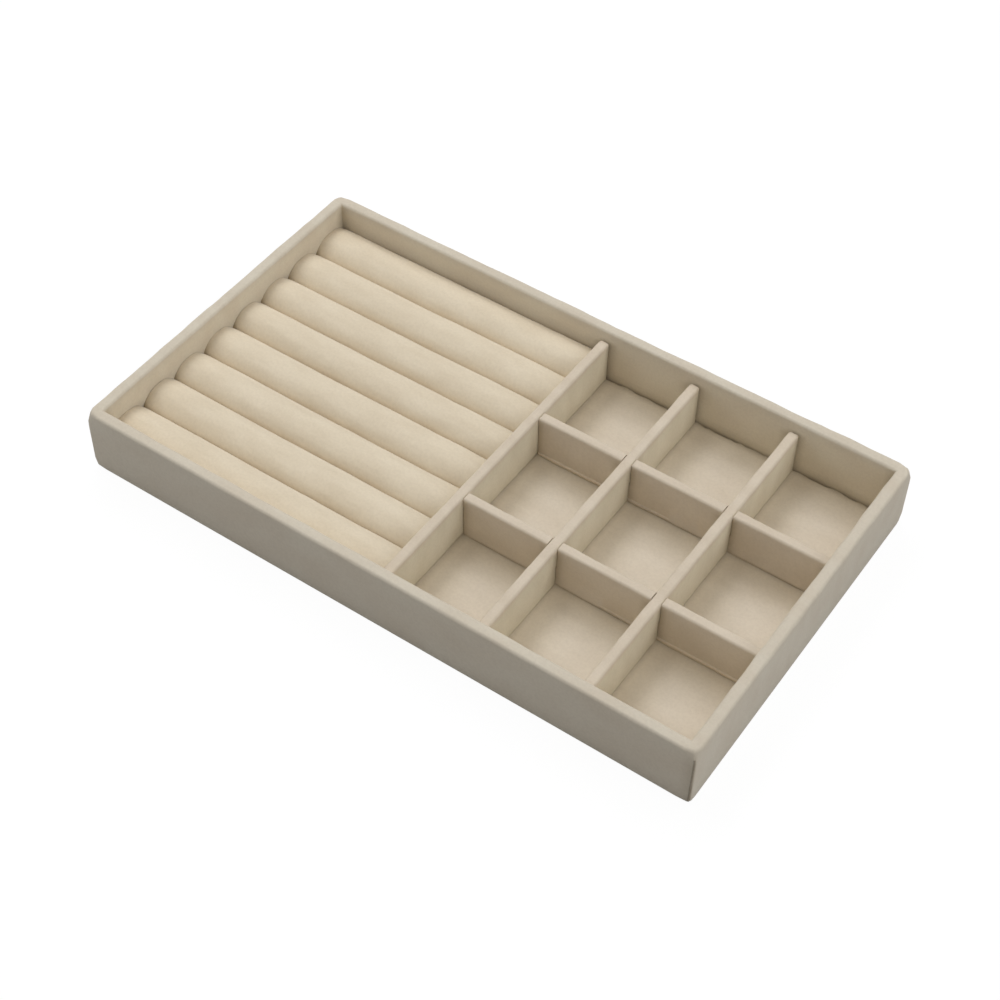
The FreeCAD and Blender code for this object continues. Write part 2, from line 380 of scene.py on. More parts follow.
    def dress(self, body: str, slot: str, material: bpy.types.Material, *nodes: str) -> None:
        """Gives the piece its finish and its place in the model.

        Args:
            body: the body that it rides on.
            slot: the record's material slot; not used.
            material: its finish.
            nodes: the nodes that it stands for.
        """
        self.piece.data.materials.clear()
        self.piece.data.materials.append(material)
        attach(self.piece, body)
        if nodes:
            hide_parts(*nodes)
        LOG.info("%s: %d faces on %s", self.piece.name, len(self.piece.data.polygons), body)


class NodeBoard:
    """The shader nodes of a finish or of the studio's light, wired by short calls."""

    def __init__(self, owner: bpy.types.Material | bpy.types.World, output: str = "OutputMaterial") -> None:
        """Starts with nothing but the output.

        Args:
            owner: the material or the world that the nodes belong to.
            output: the output's type, without its prefix.
        """
        owner.use_nodes = True
        self.owner = owner
        self.tree = owner.node_tree
        self.tree.nodes.clear()
        self.output = self.add(output)

    def add(self, kind: str, settings: dict[str, object] | None = None, **inputs: object) -> bpy.types.Node:
        """Adds a node.

        Args:
            kind: the node's type, without its prefix.
            settings: the node's own settings.
            inputs: what goes into its sockets, a value or another node's socket, by the socket's name in
                lower case with underscores.

        Returns:
            The node.
        """
        node = self.tree.nodes.new(f"ShaderNode{kind}")
        for name, value in (settings or {}).items():
            setattr(node, name, value)
        for name, value in inputs.items():
            socket = next(s for s in node.inputs if s.enabled and s.name.lower().replace(" ", "_") == name)
            self._feed(socket, value)
        return node

    def _feed(self, socket: bpy.types.NodeSocket, value: object) -> None:
        """Links another node's socket to a socket, or sets a plain value on it."""
        if isinstance(value, bpy.types.NodeSocket):
            self.tree.links.new(value, socket)
        else:
            socket.default_value = value

    def shader(self, kind: str, **inputs: object) -> bpy.types.NodeSocket:
        """Adds a shader and gives the socket that holds it."""
        return self.add(kind, **inputs).outputs[0]

    def join(self, kind: str, *feeds: bpy.types.NodeSocket, **settings: object) -> bpy.types.NodeSocket:
        """Adds a node that is fed in the order of its sockets.

        Args:
            kind: the node's type, without its prefix.
            feeds: the sockets that feed it.
            settings: the node's own settings.

        Returns:
            The socket that holds its result.
        """
        node = self.add(kind, settings)
        for socket, feed in zip(node.inputs, feeds):
            self.tree.links.new(feed, socket)
        return node.outputs[0]

    def place(self, stretch: Triple = (1, 1, 1), turn: Triple = (0, 0, 0)) -> bpy.types.NodeSocket:
        """Gives the point of the surface in the piece's own coordinates, stretched and turned."""
        source = self.add("TexCoord").outputs["Object"]
        return self.add("Mapping", vector=source, scale=stretch, rotation=turn).outputs["Vector"]

    def noise(self, size: float, place: bpy.types.NodeSocket, detail: float = 2) -> bpy.types.NodeSocket:
        """Gives the height, 0 to 1, of a cloudy pattern with patches of about a size."""
        return self.add("TexNoise", vector=place, scale=1 / size, detail=detail).outputs["Fac"]

    def spread(self, height: bpy.types.NodeSocket, heights: Span, start: Colour,
               end: Colour) -> bpy.types.NodeSocket:
        """Spreads a pattern's height between two colours.

        Args:
            height: the pattern.
            heights: the heights of the first and the second colour.
            start: the first colour.
            end: the second colour.

        Returns:
            The socket that holds the colour.
        """
        ramp = self.add("ValToRGB", fac=height)
        for stop, place, colour in zip(ramp.color_ramp.elements, heights, (start, end)):
            stop.position = place
            stop.color = (*colour, 1)
        return ramp.outputs["Color"]

    def tint(self, share: float | bpy.types.NodeSocket, colour: bpy.types.NodeSocket,
             tint: object) -> bpy.types.NodeSocket:
        """Multiplies a colour by a tint.

        Args:
            share: how much of the tint is used.
            colour: the colour.
            tint: the tint, a socket or a plain value.

        Returns:
            The socket that holds the tinted colour.
        """
        node = self.add("Mix", {"data_type": "RGBA", "blend_type": "MULTIPLY"})
        for name, value in (("Factor_Float", share), ("A_Color", colour), ("B_Color", tint)):
            self._feed(next(s for s in node.inputs if s.identifier == name), value)
        return next(s for s in node.outputs if s.identifier == "Result_Color")

    def seen_directly(self) -> bpy.types.NodeSocket:
        """Gives the socket that is 1 for a ray from the camera, a mirror or a glass."""
        path = self.add("LightPath").outputs
        seen = path["Is Camera Ray"]
        for name in ("Is Glossy Ray", "Is Transmission Ray"):
            seen = self.join("Math", seen, path[name], operation="MAXIMUM")
        return seen

    def close(self, shader: bpy.types.NodeSocket) -> bpy.types.Material | bpy.types.World:
        """Joins the last shader to the output and gives the nodes' owner."""
        self.tree.links.new(shader, self.output.inputs["Surface"])
        return self.owner


@dataclass(frozen=True)
class NappedCloth:
    """A cloth with a short brushed nap, such as the suede-like cover or the velvet of the rolls."""

    name: str
    light: Colour
    dark: Colour
    patch: float = 26 * MM
    patch_heights: Span = (0.32, 0.68)
    brush_turn: Triple = (0.3, 0.2, 0.6)
    brush_stretch: Triple = (1, 3.2, 1.6)
    speck: float = 1.1 * MM
    speck_heights: Span = (0.3, 0.62)
    speck_dark: Colour = (0.9, 0.89, 0.88)
    speck_light: Colour = (1.03, 1.03, 1.03)
    speck_share: float = 0.4
    speck_bump: float = 0.1
    speck_relief: float = 0.2 * MM
    fibre: float = 0.3 * MM
    fibre_bump: float = 0.25
    fibre_relief: float = 0.1 * MM
    detail: float = 3
    roughness: float = 0.95
    gloss: float = 0.12
    sheen: float = 0.2
    sheen_roughness: float = 0.45
    # lining is the tint of the painted light, and nook the colour of the painted shade.
    lining: Colour = (1.12, 1.115, 1.08)
    nook: Colour = (0.44, 0.39, 0.29)

    def material(self) -> bpy.types.Material:
        """Makes the cloth's material: brushed patches, specks, painted light and painted shade in nooks, and
        a fibrous bump.
        """
        board = NodeBoard(bpy.data.materials.new(self.name))
        brushed = board.place(self.brush_stretch, self.brush_turn)
        streaks = board.noise(self.patch, brushed, self.detail)
        lumps = board.noise(self.speck, board.place(), self.detail)
        patches = board.spread(streaks, self.patch_heights, self.dark, self.light)
        specks = board.spread(lumps, self.speck_heights, self.speck_dark, self.speck_light)
        colour = board.tint(self.speck_share, patches, specks)
        # Painted light and painted shade are multiplied into the colour here.
        for name, tint in ((PAINTED_LIGHT, self.lining), (PAINTED_SHADE, self.nook)):
            share = board.add("Attribute", {"attribute_name": name}).outputs["Fac"]
            colour = board.tint(share, colour, (*tint, 1))
        fine = board.add("Bump", height=board.noise(self.fibre, brushed), strength=self.fibre_bump,
                         distance=self.fibre_relief)
        bump = board.add("Bump", height=lumps, strength=self.speck_bump, distance=self.speck_relief,
                         normal=fine.outputs["Normal"])
        return board.close(board.shader(
            "BsdfPrincipled", base_color=colour, roughness=self.roughness, specular_ior_level=self.gloss,
            sheen_weight=self.sheen, sheen_roughness=self.sheen_roughness, normal=bump.outputs["Normal"]))


@dataclass(frozen=True)
class PressedFibre:
    """A pressed sheet of fibres or cells, such as board, card, felt or foam."""

    name: str
    light: Colour
    dark: Colour
    grain: float
    stretch: Triple = (1, 1, 1)
    relief: float = 0.1 * MM
    bump: float = 0.5
    detail: float = 4
    heights: Span = (0.3, 0.7)
    cloud_grains: float = 12
    cloud_dark: Colour = (0.88, 0.87, 0.86)
    cloud_light: Colour = (1, 1, 1)
    cloud_share: float = 0.8
    roughness: float = 0.9
    gloss: float = 0.2

    def material(self) -> bpy.types.Material:
        """Makes the sheet's material: mixed grains over cloudy patches, with a grainy bump."""
        board = NodeBoard(bpy.data.materials.new(self.name))
        place = board.place(self.stretch)
        grains = board.noise(self.grain, place, self.detail)
        clouds = board.noise(self.grain * self.cloud_grains, place)
        fine = board.spread(grains, self.heights, self.dark, self.light)
        broad = board.spread(clouds, self.heights, self.cloud_dark, self.cloud_light)
        bump = board.add("Bump", height=grains, strength=self.bump, distance=self.relief)
        return board.close(board.shader(
            "BsdfPrincipled", base_color=board.tint(self.cloud_share, fine, broad), roughness=self.roughness,
            specular_ior_level=self.gloss, normal=bump.outputs["Normal"]))


# The lining tints are painted light: the wall's lightens its inner side, the strips' lightens one span of
# hem, the uprights' tints their shaded sides greener and the floor's warms its shaded corners.
WALL_CLOTH = NappedCloth("wall_cloth", tone(215, 206, 189), tone(210, 199, 181))
DIVIDER_CLOTH = NappedCloth("divider_cloth", tone(219, 206, 187), tone(212, 198, 178),
                            lining=(1.16, 1.15, 1.13))
UPRIGHT_CLOTH = replace(DIVIDER_CLOTH, name="upright_cloth", lining=(1.03, 1.075, 1.04))
FLOOR_CLOTH = NappedCloth("floor_cloth", tone(229, 218, 201), tone(221, 209, 191), patch=30 * MM,
                          lining=(1, 0.99, 0.94))
ROLL_VELVET = NappedCloth("roll_velvet", tone(227, 214, 191), tone(221, 207, 183), patch=16 * MM, sheen=0.3)
RAW_EDGE = PressedFibre("raw_edge", tone(178, 167, 150), tone(150, 139, 122), grain=0.4 * MM)
FELT = PressedFibre("felt", tone(196, 189, 178), tone(170, 163, 151), grain=0.8 * MM, relief=0.2 * MM)
FIBREBOARD = PressedFibre("fibreboard", tone(176, 149, 117), tone(146, 119, 89), grain=0.5 * MM)
CARD = PressedFibre("card", tone(186, 180, 170), tone(168, 161, 150), grain=0.6 * MM, stretch=(1, 3, 1))
FOAM = PressedFibre("foam", tone(240, 238, 230), tone(212, 208, 196), grain=0.9 * MM, relief=0.3 * MM)


@dataclass
class TrayCover:
    """The cloth over the walls: up the outside, over the round rim, down inside, and a hem turned under."""

    wall: float = 5.1 * MM
    edge_round: float = 1.35 * MM
    edge_steps: int = 6
    side_corner: float = 0.9 * MM
    rim_corner: float = 4.4 * MM
    rim_reach: float = 6 * MM
    foot_corner: float = 2.6 * MM
    foot_reach: float = 4 * MM
    foot_round: float = 0.7 * MM
    foot_steps: int = 3
    hem: float = 10 * MM
    cloth: float = 0.7 * MM
    grid: float = 4.5 * MM
    waves: Waves = Waves(0.6 * MM, 22 * MM)
    rim_waves: Waves = Waves(0.42 * MM, 8 * MM)
    rim_band: Span = (4 * MM, 1 * MM)
    foot_slack: Span = (2 * MM, 6 * MM)
    corner_slack: Span = (2 * MM, 14 * MM)
    # Painted shade: darker towards the floor, the inner corners and the dividers, and on the front beside
    # the lap.
    foot_shade: Shade = Shade(0.5, 2.5 * MM)
    corner_shade: Shade = Shade(0.4, 5 * MM)
    divider_shade: Shade = Shade(0.38, 3.4 * MM)
    divider_shade_top: float = 3 * MM
    lap_shade: Shade = Shade(0.3, 4.5 * MM)
    low: Vector = field(init=False)
    high: Vector = field(init=False)

    def __post_init__(self) -> None:
        """Takes the corners of the cover's box from the frame."""
        self.low, self.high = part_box("wall_wrap")

    def build(self) -> Workpiece:
        """Shapes the cover from a block that is hollowed from above and opened below.

        Returns:
            The cover.
        """
        low, high = self.low, self.high
        depth = high.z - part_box("floor_lining")[0].z

        def level(a: Vector, b: Vector, height: float) -> bool:
            """Says whether an edge lies at a height and runs along the tray."""
            return at(a.z, height) and at(b.z, height) and (along(a, b, Axis.X) or along(a, b, Axis.Y))

        def outside(point: Vector) -> bool:
            """Says whether a point lies on the outer faces or their rounded corners."""
            return min(high.x - abs(point.x), high.y - abs(point.y)) < self.edge_round / 2

        cover = Workpiece.block("wall_cover", low, high)
        with cover.editing():
            cover.pick_faces(lambda middle, normal: normal.z > AXIS_COSINE)
            bpy.ops.mesh.inset(thickness=self.wall)
            bpy.ops.mesh.extrude_region_move(TRANSFORM_OT_translate={"value": (0, 0, -depth)})
            bpy.ops.mesh.delete(type="FACE")
            cover.pick_faces(lambda middle, normal: normal.z < -AXIS_COSINE)
            bpy.ops.mesh.inset(thickness=self.hem)
            bpy.ops.mesh.delete(type="FACE")
            cover.round_edges(
                lambda a, b: level(a, b, high.z) or (along(a, b, Axis.Z) and outside(a)),
                self.edge_round, self.edge_steps)
            cover.round_edges(
                lambda a, b: at(a.z, low.z) and at(b.z, low.z) and outside(a) and outside(b),
                self.foot_round, self.foot_steps)
            for axis in Axis:
                cover.even_out(axis, self.grid)
        cover.nudge(self.draw_corner)
        rim_band = [high.z - below for below in self.rim_band]
        loose = cover.group("loose", self._looseness)
        rim = cover.group("rim", lambda point: self._looseness(point) * ease(point.z, *rim_band))
        cover.ruffle(self.waves, loose)
        cover.ruffle(self.rim_waves, rim)
        cover.thicken(self.cloth)
        self._paint(cover)
        cover.smooth()
        return cover

    def _paint(self, cover: Workpiece) -> None:
        """Paints the inner side lighter as painted light, paints shade into the nooks along the floor,
        corners and dividers, and darkens the front by the lap.

        Args:
            cover: the cover.
        """
        high = self.high
        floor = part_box("floor_lining")[1].z
        inner = high - Vector((self.wall, self.wall, self.edge_round))
        ends = wraps(UPRIGHTS)

        def inside(point: Vector) -> float:
            """Says how far a point belongs to the inner side."""
            depth = max(abs(point.x) - inner.x, abs(point.y) - inner.y)
            return fade(depth, self.wall / 3) * ease(inner.z - point.z, -self.edge_round, self.edge_round)

        def nook(point: Vector) -> float:
            """Says how dark a point of the inner side is painted as shade in a nook."""
            corner = max(inner.x - abs(point.x), inner.y - abs(point.y))
            depth = max(self.foot_shade.at(point.z - floor), self.corner_shade.at(corner))
            if point.y > 0:
                gap = min(beyond(point.x, start.x, end.x) for start, end in ends)
                below = ease(ends[0][1].z - point.z, 0, self.divider_shade_top)
                depth = max(depth, self.divider_shade.at(gap) * below)
            return depth

        def lap(point: Vector) -> float:
            """Says how far a point of the front is painted darker beside the lap."""
            front = fade(point.y + high.y, self.edge_round)
            below_rim = ease(high.z - point.z, self.edge_round, self.rim_reach)
            return self.lap_shade.at(high.x - point.x) * front * below_rim

        # Painted light lightens the inner side; painted shade darkens its nooks and the front beside the
        # lap.
        cover.paint(PAINTED_LIGHT, inside)
        cover.paint(PAINTED_SHADE, lambda point: max(inside(point) * nook(point), lap(point)))

    def _looseness(self, point: Vector) -> float:
        """Says how far the cloth may ruffle: not at the foot or over the corners of the boards."""
        corner = math.hypot(self.high.x - abs(point.x), self.high.y - abs(point.y))
        return ease(point.z, *self.foot_slack) * ease(corner, *self.corner_slack)

    def draw_corner(self, point: Vector) -> Vector:
        """Draws the cloth round an outer corner: tight at the sides, wider at the rim and the foot.

        Args:
            point: a point of the cover.

        Returns:
            The point's new place.
        """
        high = self.high
        rim = ease(point.z, high.z - self.rim_reach, high.z) * (self.rim_corner - self.side_corner)
        foot = fade(point.z, self.foot_reach) * (self.foot_corner - self.side_corner)
        radius = self.side_corner + rim + foot
        spot = Vector((abs(point.x), abs(point.y)))
        past = spot - Vector((high.x - self.edge_round, high.y - self.edge_round))
        inset = self.edge_round - (past.length if min(past) > 0 else max(past))
        if inset >= radius:
            return point
        if min(past) > 0:
            spot += past * (past.length / max(past) - 1)
        around = spot - Vector((high.x - radius, high.y - radius))
        if min(around) > 0 and around.length > radius - inset:
            spot += around * ((radius - inset) / around.length - 1)
        return Vector((math.copysign(spot.x, point.x), math.copysign(spot.y, point.y), point.z))


@dataclass
class CornerLap:
    """The raw edge of the cloth where its ends meet at the front right corner."""

    cover: TrayCover
    thickness: float = 0.85 * MM
    inset: float = 0.75 * MM
    proud: float = 0.06 * MM
    sink_share: float = 1.4
    foot: float = 0.9 * MM
    head: float = 3.8 * MM
    round_steps: int = 2
    grid: float = 1.5 * MM
    waves: Waves = Waves(0.12 * MM, 4 * MM)

    def build(self) -> Workpiece:
        """Shapes the edge from a thin upright strip that sinks in towards the rim.

        Returns:
            The strip.
        """
        low, high = self.cover.low, self.cover.high
        start = Vector((high.x - self.inset - self.thickness / 2, low.y - self.proud, low.z + self.foot))
        end = Vector((start.x + self.thickness, start.y + self.thickness, high.z - self.head))
        strip = Workpiece.block("corner_lap_edge", start, end)
        with strip.editing():
            strip.round_edges(lambda a, b: along(a, b, Axis.Z) and at(a.y, start.y), self.thickness / 3,
                              self.round_steps)
            strip.even_out(Axis.Z, self.grid)

        def lay(point: Vector) -> Vector:
            """Sinks the strip into the wall towards the rim and lays it along the corner."""
            sink = self.proud * self.sink_share * ease(point.z, start.z, end.z)
            return self.cover.draw_corner(point + Vector((0, sink, 0)))

        strip.nudge(lay)
        strip.ruffle(self.waves)
        strip.smooth()
        return strip


@dataclass
class FloorCloth:
    """The lined card on the floor, its cloth turned down over the card's edge."""

    edge_round: float = 0.5 * MM
    edge_steps: int = 3
    back_gap: float = 0.15 * MM
    wall_gap: float = 0.4 * MM
    swell: float = 0.3 * MM
    cloth: float = 0.7 * MM
    grid: float = 2.2 * MM
    edge_waves: Waves = Waves(1.9 * MM, 4.5 * MM)
    waves: Waves = Waves(0.12 * MM, 16 * MM)
    # Painted shade beside the dividers and walls, and how far the painted warm shade reaches.
    divider_shade: Shade = Shade(0.18, 2.2 * MM)
    wall_shade: Shade = Shade(0.45, 2.8 * MM)
    warm_shade_reach: float = 20 * MM
    low: Vector = field(init=False)
    high: Vector = field(init=False)

    def __post_init__(self) -> None:
        """Takes the corners of the cloth's box from the frame."""
        self.low, self.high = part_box("floor_lining")
        self.high.y -= self.back_gap

    def build(self) -> Workpiece:
        """Shapes the cloth from a block that is open below.

        Returns:
            The cloth.
        """
        low, high = self.low, self.high
        cloth = Workpiece.block("floor_cloth", low, high)
        with cloth.editing():
            cloth.pick_faces(lambda middle, normal: normal.z < -AXIS_COSINE)
            bpy.ops.mesh.delete(type="FACE")
            cloth.round_edges(lambda a, b: at(a.z, high.z) and at(b.z, high.z), self.edge_round,
                              self.edge_steps)
            for axis in (Axis.X, Axis.Y):
                cloth.even_out(axis, self.grid)
        edge = cloth.group("edge", lambda point: float(
            min(high.x - point.x, point.x - low.x, high.y - point.y, point.y - low.y) < self.edge_round))
        cloth.ruffle(self.edge_waves, edge)
        cloth.ruffle(self.waves)
        cloth.thicken(self.cloth)
        cloth.nudge(self._keep_in)
        uprights, strips = wraps(UPRIGHTS), wraps(STRIPS)

        def nook(point: Vector) -> float:
            """Says how dark a point is painted as shade in the nook beside a divider or a wall."""
            sides = [beyond(point.x, start.x, end.x) for start, end in uprights]
            sides += [beyond(point.y, start.y, end.y) for start, end in strips]
            wall = min(high.x - abs(point.x), high.y - abs(point.y), abs(point.x - uprights[0][1].x))
            return max(self.divider_shade.at(min(sides)), self.wall_shade.at(wall))

        def painted_warm_shade(point: Vector) -> float:
            """Says how near a point lies to an upright on its left, or to a strip or the wall behind it,
            where the cloth is painted warmer as painted shade.
            """
            gaps = [point.x - end.x for start, end in uprights]
            gaps += [start.y - point.y for start, end in strips] + [high.y - point.y]
            return fade(min((gap for gap in gaps if gap >= 0), default=0), self.warm_shade_reach)

        # Painted shade in the nooks, and a painted warm shade on the shaded side of the dividers.
        cloth.paint(PAINTED_SHADE, nook)
        cloth.paint(PAINTED_LIGHT, painted_warm_shade)
        cloth.smooth()
        return cloth

    def _keep_in(self, point: Vector) -> Vector:
        """Holds a point of the cloth between the walls and near the card."""
        room = Vector((self.wall_gap, self.wall_gap, 0))
        first, last = self.low - room, self.high + room + Vector((0, 0, self.swell))
        return Vector(clamp(*values) for values in zip(point, first, last))


@dataclass
class DividerCover:
    """The cloth folded over one divider's core, open below, with rounded top edges and ends."""

    name: str
    body: str
    run: Axis
    notches: Notches = Notches.NONE
    crossed: Sequence[str] = ()
    edge_round: float = 1.1 * MM
    edge_steps: int = 5
    end_share: float = 1
    slit_share: float = 0.45
    notch_clearance: float = 0.35 * MM
    slit_before: float = 0.08 * MM
    slit_after: float = 0.06 * MM
    reach: float = -0.4 * MM
    lift: float = 0.3 * MM
    hem: float = 0.9 * MM
    hem_proud: float = 0.05 * MM
    kept_share: float = 0.25
    # The span whose hem stands proudest and is painted light, as a painted highlight.
    lit_hem_span: int = -1
    ledge: float = 0.3 * MM
    cloth: float = 0.7 * MM
    grid: float = 3 * MM
    held_reach: float = 3 * MM
    waves: Waves = Waves(0.4 * MM, 16 * MM)
    fine_waves: Waves = Waves(0.22 * MM, 5 * MM)
    # Painted shade at the floor and beside the crossings and ends.
    floor_shade: Shade = Shade(0.3, 1.6 * MM)
    side_shade: Shade = Shade(0.5, 4.2 * MM)
    side_shade_top: Span = (0.4 * MM, 4 * MM)
    low: Vector = field(init=False)
    high: Vector = field(init=False)
    spine_low: Vector = field(init=False)
    spine_high: Vector = field(init=False)
    gaps: list[Span] = field(init=False)

    def __post_init__(self) -> None:
        """Takes the cover's box, the half of it that runs through and the notches from the frame."""
        self.low, self.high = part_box(f"{self.name}_wrap")
        middle = (self.low.z + self.high.z) / 2
        self.low += Axis.Z.unit() * self.lift - self.run.unit() * self.reach
        self.high += self.run.unit() * self.reach
        self.spine_low, self.spine_high = self.low.copy(), self.high.copy()
        if self.notches is Notches.ABOVE:
            self.spine_high.z = middle - self.notch_clearance
        if self.notches is Notches.BELOW:
            self.spine_low.z = middle + self.notch_clearance
        self.gaps = [self._gap(*box) for box in wraps(self.crossed)]

    def build(self) -> Workpiece:
        """Shapes the cover from the half that runs through, with the spans between notches drawn out of it.

        Returns:
            The cover.
        """
        step = self.run.value
        places = [place for gap in self.gaps for place in gap]
        drawn = (self.high.z - self.spine_high.z) + (self.low.z - self.spine_low.z)

        def in_gap(point: Vector) -> bool:
            """Says whether a point lies in one of the notches."""
            return any(start < point[step] < end for start, end in self.gaps)

        cover = Workpiece.block(f"{self.name}_cover", self.spine_low, self.spine_high)
        with cover.editing():
            for place in places:
                cover.score(self.run.unit() * place, self.run.unit())
            if drawn:
                cover.pick_faces(lambda point, normal: math.copysign(1, drawn) * normal.z > AXIS_COSINE
                                 and not in_gap(point))
                bpy.ops.mesh.extrude_region_move(TRANSFORM_OT_translate={"value": (0, 0, drawn)})
        cover.round_by_share(self._round_share, self.edge_round, self.edge_steps)
        with cover.editing():
            self._turn_hem(cover)
            for axis in (self.run, Axis.Z):
                cover.even_out(axis, self.grid)
        held = [self.low[step], self.high[step], *places]
        loose = cover.group("loose", lambda point: min(
            [1] + [abs(point[step] - place) / self.held_reach for place in held]))
        cover.ruffle(self.waves, loose)
        cover.ruffle(self.fine_waves, loose)
        cover.thicken(self.cloth)
        self._paint(cover)
        cover.smooth()
        return cover

    def _turn_hem(self, cover: Workpiece) -> None:
        """Lets the hem of the open mesh stand proud, most in the span whose hem is painted light, and opens
        the cover below.

        Args:
            cover: the cover.
        """
        step = self.run.value
        foot = self.low.z
        for height in (self.hem, self.hem + self.ledge):
            cover.score(Vector((0, 0, foot + height)), Axis.Z.unit())
        for painted_hem_light, share in ((True, 1), (False, self.kept_share)):
            cover.pick_faces(lambda point, normal: max(abs(normal.z), abs(normal[step])) < SIDE_COSINE
                             and point.z < foot + self.hem
                             and (self._span(point) == self.lit_hem_span) is painted_hem_light)
            bpy.ops.transform.shrink_fatten(value=self.hem_proud * share)
        cover.pick_faces(lambda point, normal: normal.z < -AXIS_COSINE and at(point.z, foot))
        bpy.ops.mesh.delete(type="FACE")

    def _paint(self, cover: Workpiece) -> None:
        """Paints shade into the nooks, and paints light onto a strip's hem in one span or a greener tint of
        shade onto an upright's sides.

        Args:
            cover: the cover.
        """
        low, high, step = self.low, self.high, self.run.value
        crossed = [(start[step], end[step]) for start, end in wraps(self.crossed)]

        def nook(point: Vector) -> float:
            """Says how dark a point is painted as shade at the floor, at an end or beside a crossing."""
            place = point[step]
            sides = [beyond(place, start, end) for start, end in crossed]
            sides += [place - low[step], high[step] - place]
            beside = self.side_shade.at(min(sides)) * ease(high.z - point.z, *self.side_shade_top)
            return max(beside, self.floor_shade.at(point.z - low.z))

        def painted_hem_light(point: Vector) -> float:
            """Says how far the hem is painted light, a painted highlight on its ledge, which it is in one
            span.
            """
            return fade(point.z - low.z - self.hem, self.ledge) * (self._span(point) == self.lit_hem_span)

        def side(point: Vector) -> float:
            """Says how far a point lies below the rounded top, on the sides that are painted a greener tint
            of shade.
            """
            return ease(high.z - point.z, self.edge_round / 2, self.edge_round * 2)

        # Painted shade in the nooks; painted light on a strip's hem, or a painted greener shade tint on an
        # upright's sides.
        cover.paint(PAINTED_SHADE, nook)
        cover.paint(PAINTED_LIGHT, painted_hem_light if self.run is Axis.X else side)

    def _span(self, point: Vector) -> int:
        """Gives the span between notches that a point lies in, counted from the lower end."""
        return sum(point[self.run.value] > (start + end) / 2 for start, end in self.gaps)

    def _gap(self, low: Vector, high: Vector) -> Span:
        """Gives where the notch for a divider between two corners starts and ends along the run."""
        before, after = self.notch_clearance, self.notch_clearance
        if self.notches is Notches.ABOVE:
            before, after = self.slit_before, self.slit_after
        return low[self.run.value] - before, high[self.run.value] + after

    def _round_share(self, a: Vector, b: Vector) -> float:
        """Says how far the cloth rounds the edge between two points: the top's fully, the ends' less.

        Args:
            a: the edge's first end.
            b: the edge's second end.

        Returns:
            The share of the full rounding, 0 where the edge stays sharp.
        """
        low, high, step = self.low, self.high, self.run.value
        on_top = at(a.z, high.z) and at(b.z, high.z)
        if on_top and along(a, b, self.run):
            return 1
        if not at(a[step], b[step]) or not (on_top or along(a, b, Axis.Z)):
            return 0
        if at(a[step], low[step]) or at(a[step], high[step]):
            return self.end_share
        at_slit = any(at(a[step], end) for start, end in self.gaps)
        if at_slit and max(a.z, b.z) > self.spine_high.z + PLACE_ERROR:
            return self.slit_share
        return 0


@dataclass
class StripCover(DividerCover):
    """The cover of a cross strip, which reaches the walls and has a proud hem, painted light in one span."""

    end_share: float = 0.45
    reach: float = 0.2 * MM
    lift: float = 0.4 * MM
    hem: float = 1.2 * MM
    hem_proud: float = 0.5 * MM


